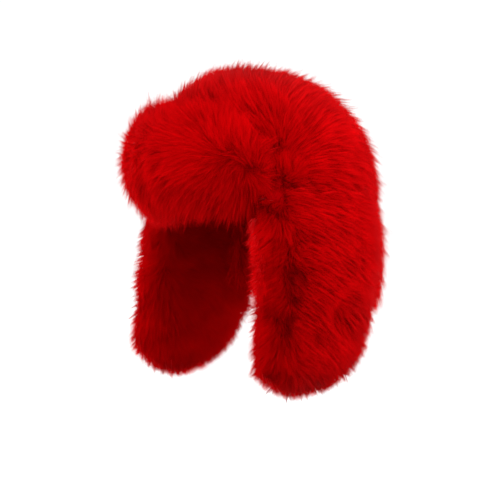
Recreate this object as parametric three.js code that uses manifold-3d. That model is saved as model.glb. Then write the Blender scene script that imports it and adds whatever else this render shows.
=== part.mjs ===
// A deep-pile faux-fur trapper hat: a hollow domed crown, a front visor turned up against it,
// two long ear flaps furred on both faces, and a neck flap between them at the back.
// Each piece is its cloth wall with the standing pile on it as one body, and the long guard
// hairs that group into tufts are locks fused to that body.
//
// Millimetres, +Z up. The front of the hat faces -Y, and the wearer's left is +X.
// The origin is the middle of the head opening at the brow line, where the crown grips the head.
import * as THREE from "three";
import { mergeVertices } from "three/addons/utils/BufferGeometryUtils.js";
import Module from "manifold-3d";

const wasm = await Module();
wasm.setup();

// Head opening: the lining's half width, half depth and height over the brow line (hat size 57).
const HEAD = { halfWidth: 82, halfDepth: 99, height: 108 };

// The pile's body over the crown. Its front is fuller than an ellipse by this power, and the rim
// draws in by rimTuck at the seam.
const CROWN = { halfWidth: 118, halfDepth: 132, height: 144, frontFullness: 0.4, rimTuck: 3 };

// The crown's lower edge, and the gap left in every seam between two pieces.
const RIM_Z = -8;
const SEAM = 0.4;

// The visor stands in front of the crown, round the head from temple to temple.
// A row for each section. turn: degrees from the front. foot, top: its lower and upper end.
// inside, reach: how far its back and its face lie outside the lining.
const VISOR_SECTIONS = [
  { turn: 0, foot: -13, top: 104, inside: 13, reach: 50 },
  { turn: 14, foot: -13, top: 104, inside: 13, reach: 50 },
  { turn: 28, foot: -13, top: 103, inside: 13, reach: 49 },
  { turn: 40, foot: -12, top: 98, inside: 13, reach: 48 },
  { turn: 50, foot: -10, top: 86, inside: 14, reach: 47 },
  { turn: 59, foot: -6, top: 68, inside: 16, reach: 45 },
  { turn: 66, foot: 2, top: 50, inside: 20, reach: 42 },
  { turn: 70, foot: 12, top: 36, inside: 26, reach: 38 },
];
// The visor's face is an arch: how far it draws back at its foot and top.
const VISOR_ARCH = 17;

// An ear flap hangs as a thick tongue. A row for each level.
// front, rear: the places of its two upright edges. middle: how far out the middle of its thickness
// stands at the widest place of the head. straight: how much of the head's roundness the front half
// leaves out, because the flap stands away from the cheek.
const FLAP_SECTIONS = [
  { z: RIM_Z - SEAM, front: -72, rear: 62, middle: 99, straight: 0.6, thick: 36 },
  { z: -30, front: -75, rear: 62, middle: 105, straight: 0.85, thick: 41 },
  { z: -62, front: -76, rear: 61, middle: 111, straight: 0.93, thick: 42 },
  { z: -98, front: -77, rear: 57, middle: 115, straight: 1, thick: 42 },
  { z: -130, front: -77, rear: 51, middle: 117, straight: 1, thick: 41 },
  { z: -156, front: -76, rear: 41, middle: 116, straight: 1, thick: 39 },
  { z: -174, front: -72, rear: 25, middle: 114, straight: 1, thick: 34 },
  { z: -187, front: -65, rear: 4, middle: 112, straight: 1, thick: 25 },
  { z: -193, front: -56, rear: -16, middle: 111, straight: 1, thick: 13 },
];

// The neck flap hangs behind, between the rear edges of the ear flaps. A row for each section.
const NECK_SECTIONS = [
  { turn: 110, foot: -98, thick: 37 },
  { turn: 122, foot: -104, thick: 38 },
  { turn: 136, foot: -108, thick: 39 },
  { turn: 150, foot: -110, thick: 39 },
  { turn: 165, foot: -111, thick: 39 },
  { turn: 180, foot: -111, thick: 39 },
];

// A lock of guard hairs: how far it runs along the pile, how wide and thick it is, how deep its
// root sits, how high its middle and tip stand over the body, how far apart two locks are, how
// far down it may follow a body that curves away, how short it is where it can't follow, and how
// far past the ends of its piece a tip may reach.
const LOCK = {
  length: 36,
  width: 21,
  thick: 5,
  root: 4,
  middleLift: 1,
  tipLift: 7,
  apart: 26,
  drop: 26,
  shortened: 0.55,
  overhang: 4,
};

// Where the pile parts and lies away from: a whorl on each end of the visor, one at each temple,
// one low on each flap's lining face, and an upright parting down each flap's outer face.
const VISOR_WHORL = { x: 105, y: -93, z: 45 };
const TEMPLE_WHORL = { x: 112, y: -52, z: 36 };
const LINING_WHORL = { x: 94, y: -57, z: -70 };
const FLAP_PARTING_Y = -42;

const rad = THREE.MathUtils.degToRad;
const signedPower = (value, power) => Math.sign(value) * Math.abs(value) ** power;
const mirrored = (solid) => solid.mirror([1, 0, 0]);

// The point of a plan ellipse at a turn from the front.
const onPlan = (halfWidth, halfDepth, turn, z) =>
  new THREE.Vector3(halfWidth * Math.sin(turn), -halfDepth * Math.cos(turn), z);

const middleOf = (ring) =>
  ring.reduce((sum, point) => sum.add(point), new THREE.Vector3()).divideScalar(ring.length);

// A three.js geometry as a solid that can be joined and cut, turned to face out if it faces in.
function toSolid(geometry) {
  const merged = mergeVertices(geometry, 1e-4);
  const triVerts = new Uint32Array(merged.index.array);
  const vertProperties = merged.attributes.position.array;
  const build = () => new wasm.Manifold(new wasm.Mesh({ numProp: 3, vertProperties, triVerts }));
  const solid = build();
  if (solid.volume() > 0) return solid;
  for (let i = 0; i < triVerts.length; i += 3) {
    [triVerts[i + 1], triVerts[i + 2]] = [triVerts[i + 2], triVerts[i + 1]];
  }
  return build();
}

// A solid as a three.js geometry.
function toGeometry(solid) {
  const mesh = solid.getMesh();
  const position = new THREE.BufferAttribute(new Float32Array(mesh.vertProperties), 3);
  const geometry = new THREE.BufferGeometry().setAttribute("position", position);
  geometry.setIndex(new THREE.BufferAttribute(new Uint32Array(mesh.triVerts), 1));
  geometry.computeVertexNormals();
  return geometry;
}

// The largest body of a cut solid, without the slivers that a shallow cut leaves.
const largest = (solid) =>
  solid.decompose().reduce((a, b) => (a.volume() > b.volume() ? a : b));

// A closed solid through rings of equal count, each end closed by a fan to a point.
function loft(rings, firstPoint, lastPoint) {
  const count = rings[0].length;
  const points = [...rings.flat(), firstPoint, lastPoint];
  const index = [];
  const at = (ring, i) => ring * count + (i % count);
  for (let ring = 0; ring + 1 < rings.length; ring++) {
    for (let i = 0; i < count; i++) {
      index.push(at(ring, i), at(ring + 1, i), at(ring + 1, i + 1));
      index.push(at(ring, i), at(ring + 1, i + 1), at(ring, i + 1));
    }
  }
  for (let i = 0; i < count; i++) {
    index.push(points.length - 2, at(0, i), at(0, i + 1));
    index.push(points.length - 1, at(rings.length - 1, i + 1), at(rings.length - 1, i));
  }
  return toSolid(new THREE.BufferGeometry().setFromPoints(points).setIndex(index));
}

// Crown: outer dome of pile, rim, and the plain inner dome that the head fills
function crownBody() {
  const around = 32;
  const outerSteps = 7;
  const innerSteps = 5;
  const ringAt = (pointAt) =>
    Array.from({ length: around }, (_, i) => pointAt((i / around) * 2 * Math.PI));
  const outerRing = (tilt) =>
    ringAt((turn) => {
      const power = 2 + CROWN.frontFullness * Math.max(0, Math.cos(turn));
      const share = (1 - Math.cos(tilt) ** power) ** (1 / power);
      const z = CROWN.height * Math.cos(tilt);
      return onPlan(CROWN.halfWidth * share, CROWN.halfDepth * share, turn, z);
    });
  const innerRing = (tilt) =>
    ringAt((turn) =>
      onPlan(
        HEAD.halfWidth * Math.sin(tilt),
        HEAD.halfDepth * Math.sin(tilt),
        turn,
        HEAD.height * Math.cos(tilt),
      ),
    );
  const rings = [];
  for (let i = 1; i <= outerSteps; i++) rings.push(outerRing(rad((i / outerSteps) * 90)));
  const tuck = CROWN.rimTuck;
  rings.push(
    ringAt((turn) => onPlan(CROWN.halfWidth - tuck, CROWN.halfDepth - tuck, turn, RIM_Z)),
    ringAt((turn) => onPlan(HEAD.halfWidth, HEAD.halfDepth, turn, RIM_Z)),
  );
  for (let i = innerSteps; i >= 1; i--) rings.push(innerRing(rad((i / innerSteps) * 90)));
  const top = new THREE.Vector3(0, 0, CROWN.height);
  return loft(rings, top, new THREE.Vector3(0, 0, HEAD.height));
}

// Visor: sections stood round the front, each a fat arched leaf from its foot to its top
function visorBody(grow = 0) {
  const upright = 14;
  const right = VISOR_SECTIONS.slice(1).reverse();
  const sections = [...right.map((row) => ({ ...row, turn: -row.turn })), ...VISOR_SECTIONS];
  const rings = sections.map((row) => {
    const middle = (row.foot + row.top) / 2;
    const halfHeight = (row.top - row.foot) / 2 + grow;
    const offset = (row.inside + row.reach) / 2;
    const halfThick = (row.reach - row.inside) / 2 + grow;
    return Array.from({ length: upright }, (_, i) => {
      const angle = (i / upright) * 2 * Math.PI;
      const rise = signedPower(Math.sin(angle), 0.8);
      const face = signedPower(Math.cos(angle), 0.7);
      const drawnBack = (VISOR_ARCH * Math.abs(rise) ** 2.4 * (1 + face)) / 2;
      const out = offset + halfThick * face - drawnBack;
      const z = middle + halfHeight * rise;
      return onPlan(HEAD.halfWidth + out, HEAD.halfDepth + out, rad(row.turn), z);
    });
  });
  return loft(rings, middleOf(rings[0]), middleOf(rings.at(-1)));
}

// How far out the middle of an ear flap's thickness stands at a place along the head
function flapMiddle(row, along) {
  const depth = HEAD.halfDepth + 20;
  const round = row.middle * Math.sqrt(Math.max(0.05, 1 - (along / depth) ** 2));
  return along < 0 ? THREE.MathUtils.lerp(round, row.middle, row.straight) : round;
}

// Left ear flap: level sections, each a rounded band that follows the head
function flapBody(grow = 0) {
  const around = 20;
  const step = 1;
  const footDrop = 3;
  const rings = FLAP_SECTIONS.map((row, level) => {
    const centre = (row.front + row.rear) / 2;
    const halfLength = (row.rear - row.front) / 2 + grow;
    const halfThick = row.thick / 2 + grow;
    const z = row.z + (level === 0 ? grow : 0);
    return Array.from({ length: around }, (_, i) => {
      const angle = (i / around) * 2 * Math.PI;
      const along = centre + halfLength * signedPower(Math.cos(angle), 0.7);
      const across = halfThick * signedPower(Math.sin(angle), 0.7);
      const slope = (flapMiddle(row, along + step) - flapMiddle(row, along - step)) / (2 * step);
      const out = new THREE.Vector2(1, -slope).normalize().multiplyScalar(across);
      return new THREE.Vector3(flapMiddle(row, along) + out.x, along + out.y, z);
    });
  });
  const foot = middleOf(rings.at(-1));
  foot.z -= footDrop + grow;
  return loft(rings, middleOf(rings[0]), foot);
}

// Neck flap: sections stood round the back, flat on top under the crown's rim
function neckBody() {
  const left = NECK_SECTIONS.slice(0, -1);
  const right = [...left].reverse().map((row) => ({ ...row, turn: 360 - row.turn }));
  const high = RIM_Z - SEAM;
  const inner = 2;
  const rings = [...left, NECK_SECTIONS.at(-1), ...right].map(({ turn, foot, thick }) => {
    const face = inner + thick;
    const half = (high + foot) / 2;
    const outline = [
      [inner, high],
      [face - 5, high],
      [face, high - 18],
      [face + 1, half],
      [face - 2, foot + 22],
      [face - 11, foot + 6],
      [inner + thick / 2, foot],
      [inner + 9, foot + 6],
      [inner + 2, foot + 24],
      [inner, half],
    ];
    return outline.map(([out, z]) =>
      onPlan(HEAD.halfWidth + out, HEAD.halfDepth + out, rad(turn), z),
    );
  });
  return loft(rings, middleOf(rings[0]), middleOf(rings.at(-1)));
}

// Pull away from a whorl and its mirror twin, weaker with distance
function awayFrom(whorl, point) {
  const pull = new THREE.Vector3();
  for (const side of [-1, 1]) {
    const from = point.clone().sub(new THREE.Vector3(side * whorl.x, whorl.y, whorl.z));
    pull.addScaledVector(from, 1 / from.lengthSq());
  }
  return pull.normalize();
}

// The way the pile is combed at a point of each piece
const combed = {
  crown: (point) => awayFrom(TEMPLE_WHORL, point),
  visor: (point) => awayFrom(VISOR_WHORL, point),
  earFlap: (point, normal) => {
    if (normal.x < 0) return awayFrom(LINING_WHORL, point).add(new THREE.Vector3(0, 0, -0.8));
    const fromParting = (point.y - FLAP_PARTING_Y) / 30;
    return new THREE.Vector3(0, THREE.MathUtils.clamp(fromParting, -1.2, 1.2), -0.9);
  },
  neckFlap: (point) => new THREE.Vector3(point.x / 300, 0, -1),
};

// A seeded run of numbers from 0 to 1, so that every build is the same
function seededNumbers(seed) {
  let state = seed;
  return () => {
    state = (Math.imul(state, 1664525) + 1013904223) >>> 0;
    return state / 2 ** 32;
  };
}

// Places on a solid's surface, no two nearer than LOCK.apart, where keep allows them
function scatter(solid, seed, keep) {
  const next = seededNumbers(seed);
  const mesh = solid.getMesh();
  const corner = (i) => new THREE.Vector3().fromArray(mesh.vertProperties, 3 * mesh.triVerts[i]);
  const faces = [];
  let area = 0;
  for (let i = 0; i < mesh.triVerts.length; i += 3) {
    const face = new THREE.Triangle(corner(i), corner(i + 1), corner(i + 2));
    area += face.getArea();
    faces.push({ face, upTo: area });
  }
  const places = [];
  const tries = 6000;
  for (let n = 0; n < tries; n++) {
    const at = next() * area;
    const { face } = faces.find(({ upTo }) => at <= upTo);
    const [s, t] = [Math.sqrt(next()), next()];
    const point = new THREE.Vector3()
      .addScaledVector(face.a, 1 - s)
      .addScaledVector(face.b, s * (1 - t))
      .addScaledVector(face.c, s * t);
    const normal = face.getNormal(new THREE.Vector3());
    const clear = places.every((other) => other.point.distanceTo(point) > LOCK.apart);
    if (clear && keep(point, normal)) places.push({ point, normal, size: 0.85 + 0.3 * next() });
  }
  return places;
}

// The place on a body under a point, if the body hasn't turned away there
const caster = new THREE.Raycaster();
function dropOnto(surface, point, normal) {
  const start = point.clone().addScaledVector(normal, LOCK.drop);
  caster.set(start, normal.clone().negate());
  const [hit] = caster.intersectObject(surface);
  return hit && hit.distance < 2 * LOCK.drop ? hit.point : null;
}

// One lock: a three-sided tuft from a buried root, over a raised middle, to a point in bounds
function lockAt({ point, normal, size }, comb, surface, bounds) {
  const along = comb.clone().projectOnPlane(normal).normalize();
  const side = new THREE.Vector3().crossVectors(normal, along);
  const ring = (forward, lift, width, thick) => {
    const ahead = point.clone().addScaledVector(along, forward * size);
    const foot = dropOnto(surface, ahead, normal) ?? point.clone().lerp(ahead, LOCK.shortened);
    return [
      [width / 2, 0],
      [0, thick],
      [-width / 2, 0],
    ].map(([across, up]) =>
      foot
        .clone()
        .addScaledVector(side, across * size)
        .addScaledVector(normal, lift + up)
        .clamp(bounds.min, bounds.max),
    );
  };
  const root = ring(0, -LOCK.root, LOCK.width * 0.7, LOCK.thick);
  const middle = ring(LOCK.length * 0.5, LOCK.middleLift, LOCK.width, LOCK.thick);
  const tip = middleOf(ring(LOCK.length, LOCK.tipLift, 0, 0));
  return loft([root, middle], middleOf(root), tip);
}

// A body with locks fused on wherever they stay clear of the other pieces
function furred(body, seed, keep, comb, others) {
  const surface = new THREE.Mesh(toGeometry(body));
  const bounds = new THREE.Box3().setFromObject(surface).expandByScalar(LOCK.overhang);
  const blocked = wasm.Manifold.union(others);
  const clearance = 1.12;
  const locks = scatter(body, seed, keep)
    .map((place) => lockAt(place, comb(place.point, place.normal), surface, bounds))
    .filter((lock) => {
      const box = lock.boundingBox();
      const middle = box.min.map((low, i) => (low + box.max[i]) / 2);
      const back = middle.map((value) => -value);
      const larger = lock.translate(back).scale(clearance).translate(middle);
      return larger.intersect(blocked).isEmpty();
    });
  return wasm.Manifold.union([body, ...locks]);
}

const flapLeftBody = flapBody();
const flapRoom = flapBody(SEAM);
const bothFlapsRoom = flapRoom.add(mirrored(flapRoom));
const bothFlaps = flapLeftBody.add(mirrored(flapLeftBody));
const visorPlain = largest(visorBody().subtract(bothFlapsRoom));
const crownPlain = largest(crownBody().subtract(visorBody(SEAM)));
const neckPlain = largest(neckBody().subtract(bothFlapsRoom));

// How far outside the lining a point stands, as a share of the lining's own size
const liningShare = ({ x, y, z }) =>
  Math.hypot(x / HEAD.halfWidth, y / HEAD.halfDepth, Math.max(0, z) / HEAD.height);

// The crown, visor and neck flap take their locks on the left half, and the right half mirrors it
const leftHalf = (point) => point.x > LOCK.apart / 2;
const mirrorLocks = (solid) => {
  const left = solid.trimByPlane([1, 0, 0], 0);
  return left.add(mirrored(left));
};

const crown = mirrorLocks(
  furred(
    crownPlain,
    11,
    (point, normal) => leftHalf(point) && point.z > 4 && liningShare(point) > 1.2,
    combed.crown,
    [visorPlain, bothFlaps, neckPlain],
  ),
);
const visor = mirrorLocks(
  furred(
    visorPlain,
    23,
    (point, normal) => leftHalf(point) && normal.x * point.x + normal.y * point.y > 0,
    combed.visor,
    [crown, bothFlaps],
  ),
);
const neck = mirrorLocks(
  furred(
    neckPlain,
    37,
    (point, normal) => leftHalf(point) && point.z < -24 && normal.z > -0.9 && point.y > 40,
    combed.neckFlap,
    [crown, bothFlaps],
  ),
);
const flapLeft = furred(
  flapLeftBody,
  41,
  (point) => point.z < -24,
  combed.earFlap,
  [crown, visor, neck],
);

const pieces = {
  crown,
  visor,
  ear_flap_left: flapLeft,
  ear_flap_right: mirrored(flapLeft),
  neck_flap: neck,
};

const hat = new THREE.Group();
for (const [name, solid] of Object.entries(pieces)) {
  const fur = new THREE.MeshStandardMaterial({ color: 0xb90006, roughness: 0.9, metalness: 0 });
  const mesh = new THREE.Mesh(toGeometry(solid), fur);
  mesh.name = name;
  hat.add(mesh);
}

export default hat;
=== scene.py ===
"""Visual model of a deep-pile faux-fur trapper hat, dressed over its solids.

The hat's front faces -Y, the wearer's left is +X and +Z is up. Sizes in this file are
millimetres and are turned to metres where a mesh is made. Every piece is a soft closed body of
knitted backing and underfur, with its hairs grown on it as one mesh of thin, tapered leaves.
"""

import logging
import math
from collections.abc import Callable
from dataclasses import dataclass, field
from enum import Enum
from functools import partial

import bpy
import numpy as np
from mathutils import Matrix, Vector
from mathutils.kdtree import KDTree

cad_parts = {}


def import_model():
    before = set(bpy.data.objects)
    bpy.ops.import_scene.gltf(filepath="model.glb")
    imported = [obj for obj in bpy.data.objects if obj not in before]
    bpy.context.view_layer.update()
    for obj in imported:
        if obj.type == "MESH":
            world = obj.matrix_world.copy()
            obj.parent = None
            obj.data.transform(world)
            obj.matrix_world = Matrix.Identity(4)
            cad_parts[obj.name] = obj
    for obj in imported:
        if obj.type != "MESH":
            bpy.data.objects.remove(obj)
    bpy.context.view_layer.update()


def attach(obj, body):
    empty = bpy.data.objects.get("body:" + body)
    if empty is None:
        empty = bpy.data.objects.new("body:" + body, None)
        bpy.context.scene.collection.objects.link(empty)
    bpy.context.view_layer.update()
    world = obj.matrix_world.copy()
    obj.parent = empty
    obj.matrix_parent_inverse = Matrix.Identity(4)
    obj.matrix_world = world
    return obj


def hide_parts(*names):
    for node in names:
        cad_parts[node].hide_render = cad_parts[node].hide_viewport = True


LOG = logging.getLogger("trapper_hat")

Array = np.ndarray

# Works out one value or vector for each place, from the places and the unit normals there
Field = Callable[[Array, Array], Array]

MM = 0.001

# The UV map that holds each hair's own shade and its height in the pile
HAIR_UV = "OFBake"

# The head opening: half width, half depth and height of the lining over the brow line
HEAD_WIDTH = 82.0
HEAD_DEPTH = 99.0
HEAD_HEIGHT = 108.0

# The crown's lower edge
RIM_Z = -8.0

# How far the knitted backing's underfur lies inside the pile's dense surface
PILE_DEPTH = 11.0

# The power that makes a padded piece's cross-section squarer than an ellipse, which has 1
SQUARED = 0.7

# A soft random field: how many waves it is made of, and about how high they reach together
WAVE_COUNT = 7
WAVE_REACH = 2.6

# How a parting bends: the size of one bend, and the fields that shift it along X, Y and Z
BEND_SIZE = 14.0
BEND_SEEDS = (21, 22, 23)

# The firmest combing, where 1 lays the pile down as its rise says
FIRMEST = 1.25

# What turns a hair off the comb: waves through the pile, each with its share, the size of a
# patch and its field, and then the tuft's share and the hair's own
STRAY_WAVES = ((0.9, 30.0, 5), (0.3, 9.0, 6))
TUFT_STRAY = 0.4
HAIR_STRAY = 0.5

# How much further a hair strays where nothing combs it
LOOSE_STRAY = 5.0

# The shortest and longest hair, as shares of the pile's length
LENGTH_RANGE = (0.7, 1.08)

# How unevenly the tufts and hairs rise, how far single hairs stick out on average, what the
# whole pile sinks to make up for that, and how low and how steep a hair can stand
RISE_SPREAD = 0.022
STICK_OUT = 0.03
RISE_OFFSET = 0.04
RISE_RANGE = (0.12, 0.85)

# How far a tuft that stands up draws its hairs together
STANDING_GATHER = 0.65

# The most that a leaf is turned about its hair, in radians
LEAF_TURN = 0.9


class Side(Enum):
    """The wearer's side that a piece is on, as the sign of its X."""

    LEFT = 1
    RIGHT = -1


class Face(Enum):
    """A face of an ear flap: the outer one looks away from the head, the inner one at it."""

    OUTER = 1
    INNER = -1


def linear(hex_colour: str) -> tuple[float, float, float, float]:
    """Turns an sRGB hex colour to linear light.

    Args:
        hex_colour: Six hex digits, with or without a leading hash.

    Returns:
        Red, green, blue and alpha for a node socket.
    """
    digits = hex_colour.lstrip("#")
    parts = [int(digits[i : i + 2], 16) / 255 for i in (0, 2, 4)]
    light = [p / 12.92 if p <= 0.04045 else ((p + 0.055) / 1.055) ** 2.4 for p in parts]
    return (*light, 1.0)


def add_node(
    tree: bpy.types.NodeTree,
    kind: str,
    settings: dict[str | int, object] | None = None,
    links: dict[str | int, bpy.types.NodeSocket] | None = None,
) -> bpy.types.Node:
    """Adds one node with its settings and links.

    Args:
        tree: The tree that gets the node.
        kind: The node's Blender type name.
        settings: Values by property name, or by input name or number.
        links: Sockets to link in, by input name or number.

    Returns:
        The new node.
    """
    node = tree.nodes.new(kind)
    for name, value in (settings or {}).items():
        if isinstance(name, str) and hasattr(node, name):
            setattr(node, name, value)
        else:
            node.inputs[name].default_value = value
    for name, socket in (links or {}).items():
        tree.links.new(socket, node.inputs[name])
    return node


def unit(vectors: Array) -> Array:
    """Returns the vectors, one a row, at length 1."""
    length = np.linalg.norm(vectors, axis=1, keepdims=True)
    return vectors / np.maximum(length, 1e-9)


def in_surface(vectors: Array, normals: Array) -> Array:
    """Returns the vectors without their part along the normals."""
    return vectors - normals * np.sum(vectors * normals, axis=1, keepdims=True)


def smooth_step(low: float, high: float, value: Array) -> Array:
    """Returns 0 below low, 1 above high and an even curve between."""
    t = np.clip((value - low) / (high - low), 0, 1)
    return t * t * (3 - 2 * t)


def signed_power(value: Array, power: float) -> Array:
    """Returns a power of the size of the values, with their sign kept."""
    return np.sign(value) * np.abs(value) ** power


def on_plan(half_width: Array, half_depth: Array, turn: Array, z: Array) -> Array:
    """Places points on a plan ellipse at a turn from the front.

    Args:
        half_width: The ellipse's half axis along X.
        half_depth: Its half axis along Y.
        turn: Angle from the front, in radians, growing towards the wearer's left.
        z: Height.

    Returns:
        The points, one a row.
    """
    x = half_width * np.sin(turn)
    y = -half_depth * np.cos(turn)
    return np.stack(np.broadcast_arrays(x, y, z), axis=-1)


def waves(points: Array, size: float, seed: int) -> Array:
    """A soft random field, about -1 to 1, that is the same on each run.

    Args:
        points: Places, one a row.
        size: The rough width of one patch.
        seed: Picks the field.

    Returns:
        One value for each place.
    """
    rng = np.random.default_rng(seed)
    total = np.zeros(len(points))
    for _ in range(WAVE_COUNT):
        direction = rng.normal(size=3)
        direction *= math.pi / (size * np.linalg.norm(direction))
        direction *= rng.uniform(0.6, 1.5)
        total += np.sin(points @ direction + rng.uniform(0, 2 * math.pi))
    return total / WAVE_REACH


@dataclass
class Shell:
    """A triangle mesh in millimetres, with smooth outward normals.

    Attributes:
        vertices: Corner places, one a row.
        triangles: Corner numbers of each triangle.
        rounding: How often each soft normal is evened out with its neighbours', so that light
            turns round a thin edge as it does round the thick pile on it.
    """

    vertices: Array
    triangles: Array
    rounding: int = 0

    def normals(self, rounding: int = 0) -> Array:
        """Works out the smooth normal at each vertex.

        Args:
            rounding: How often it is evened out with its neighbours'.

        Returns:
            The unit normals, one a row.
        """
        corners = [self.triangles[:, i] for i in range(3)]
        a, b, c = (self.vertices[corner] for corner in corners)
        face = np.cross(b - a, c - a)
        total = np.zeros_like(self.vertices)
        for corner in corners:
            np.add.at(total, corner, face)
        normals = unit(total)
        for _ in range(rounding):
            total = normals.copy()
            for corner, beside in zip(corners, corners[1:] + corners[:1]):
                np.add.at(total, corner, normals[beside])
            normals = unit(total)
        return normals

    def areas(self) -> Array:
        """Returns the area of each triangle."""
        a, b, c = (self.vertices[self.triangles[:, i]] for i in range(3))
        return np.linalg.norm(np.cross(b - a, c - a), axis=1) / 2

    def mirrored(self) -> "Shell":
        """Returns the same mesh on the wearer's other side."""
        return Shell(self.vertices * [-1, 1, 1], self.triangles[:, ::-1].copy(), self.rounding)

    def to_object(self, name: str) -> bpy.types.Object:
        """Makes a smooth-shaded Blender object, in metres.

        Args:
            name: The object's name.

        Returns:
            The object, linked into the scene.
        """
        mesh = bpy.data.meshes.new(name)
        mesh.from_pydata((self.vertices * MM).tolist(), [], self.triangles.tolist())
        mesh.polygons.foreach_set("use_smooth", [True] * len(mesh.polygons))
        mesh.update()
        made = bpy.data.objects.new(name, mesh)
        bpy.context.scene.collection.objects.link(made)
        return made


def loft(rings: Array, first: Array, last: Array, rounding: int = 0) -> Shell:
    """Closes rings of equal count into one mesh, with a fan to a point at each end.

    Args:
        rings: Points by ring and place in the ring.
        first: The point that closes the first ring.
        last: The point that closes the last ring.
        rounding: How often the mesh's soft normals are evened out.

    Returns:
        The closed mesh, facing out.
    """
    count, around = rings.shape[:2]
    vertices = np.vstack([rings.reshape(-1, 3), first, last])
    low = np.arange(count * around).reshape(count, around)
    right = np.roll(low, -1, axis=1)
    a, b, c, d = low[:-1], low[1:], right[1:], right[:-1]
    sides = [np.stack([a, b, c], -1).reshape(-1, 3), np.stack([a, c, d], -1).reshape(-1, 3)]
    start = np.full(around, len(vertices) - 2)
    end = np.full(around, len(vertices) - 1)
    fans = [np.stack([start, low[0], right[0]], -1), np.stack([end, right[-1], low[-1]], -1)]
    triangles = np.vstack([*sides, *fans])
    a, b, c = (vertices[triangles[:, i]] for i in range(3))
    if np.sum(a * np.cross(b, c)) < 0:
        triangles = triangles[:, ::-1].copy()
    return Shell(vertices, triangles, rounding)


@dataclass(frozen=True)
class Parting:
    """A line that the pile lies away from, on the wearer's left, with a twin on the right.

    Attributes:
        line: Places along it. A single place makes a whorl.
        reach: Distance over which its pull fades.
        hollow: Half width of the groove that opens along it.
        depth: How much shorter the hairs stand in the groove, and so how much darker they are
        painted, as painted shade, 0 to 1.
        wander: How far the real line strays from the drawn one.
        force: How strongly it pushes the pile, beside other lines.
    """

    line: tuple[tuple[float, float, float], ...]
    reach: float = 60.0
    hollow: float = 8.0
    depth: float = 0.4
    wander: float = 6.0
    force: float = 1.0

    def away(self, points: Array) -> tuple[Array, Array]:
        """Finds the way off the line.

        Args:
            points: Places, one a row.

        Returns:
            Unit vectors off the line, and the distances to it.
        """
        fold = np.where(points[:, :1] < 0, [-1, 1, 1], [1, 1, 1])
        left = points * fold
        stray = np.stack([waves(left, BEND_SIZE, seed) for seed in BEND_SEEDS], axis=1)
        left = left + self.wander * stray
        places = np.array(self.line, dtype=float)
        best = np.full(len(points), np.inf)
        nearest = np.zeros_like(points)
        for start, end in zip(places, [*places[1:], places[-1]]):
            span = end - start
            share = np.clip((left - start) @ span / max(span @ span, 1e-9), 0, 1)
            foot = start + share[:, None] * span
            distance = np.linalg.norm(left - foot, axis=1)
            closer = distance < best
            best = np.where(closer, distance, best)
            nearest = np.where(closer[:, None], foot, nearest)
        return unit(left - nearest) * fold, best

    def pull(self, points: Array) -> Array:
        """Works out how the line pushes the pile. It fades with distance, and on the line itself.

        Args:
            points: Places, one a row.

        Returns:
            The push at each place, which lies off the line.
        """
        way, distance = self.away(points)
        strength = self.force * np.exp(-distance / self.reach)
        strength = strength * np.minimum(distance / self.hollow, 1)
        return way * strength[:, None]

    def trim_and_painted_shade(self, points: Array) -> Array:
        """Returns the share of its length that a hair keeps at each point."""
        # The kept share also paints a short hair darker, as painted shade in the groove
        return 1 - self.depth * np.exp(-((self.away(points)[1] / self.hollow) ** 2))


@dataclass(frozen=True)
class Pile:
    """How the hairs of one stretch of pile stand.

    Attributes:
        density: Drawn hairs for each square millimetre of the backing.
        length: Hair length in millimetres.
        rise: Share of its length that a combed hair's tip stands over its root.
        upright: The same for a hair that nothing combs.
        fuzz: How much further the few tufts that stand up most do so, as a share of length.
        width: Width of a drawn hair. A real guard hair is 0.05 mm; it is drawn as a wisp of
            several, so that it shows.
        tuft: Rough distance between two tufts.
        gather: How far the tips of a tuft draw together, 0 to 1.
        droop: Share of its length that a hair's tip sinks under its own weight.
        stray: How unevenly the hairs lie, 0 to 1.
        uneven: How unevenly long its tufts are, 0 to 1.
        partings: The lines that the pile lies away from.
    """

    density: float
    length: float = 33.0
    rise: float = 0.34
    upright: float = 0.66
    fuzz: float = 0.4
    width: float = 0.45
    tuft: float = 2.0
    gather: float = 0.18
    droop: float = 0.02
    stray: float = 0.13
    uneven: float = 0.06
    partings: tuple[Parting, ...] = ()

    def pull(self, points: Array) -> Array:
        """Returns the way that all the partings push the pile at each point."""
        return sum((p.pull(points) for p in self.partings), np.zeros_like(points))

    def trim_and_painted_shade(self, points: Array) -> Array:
        """Works out how short the partings leave the pile.

        Args:
            points: Places, one a row.

        Returns:
            The share of its length that a hair keeps at each place, which also sets how much
            darker it is painted there, as painted shade.
        """
        share = np.ones(len(points))
        for parting in self.partings:
            share = np.minimum(share, parting.trim_and_painted_shade(points))
        return share


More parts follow.
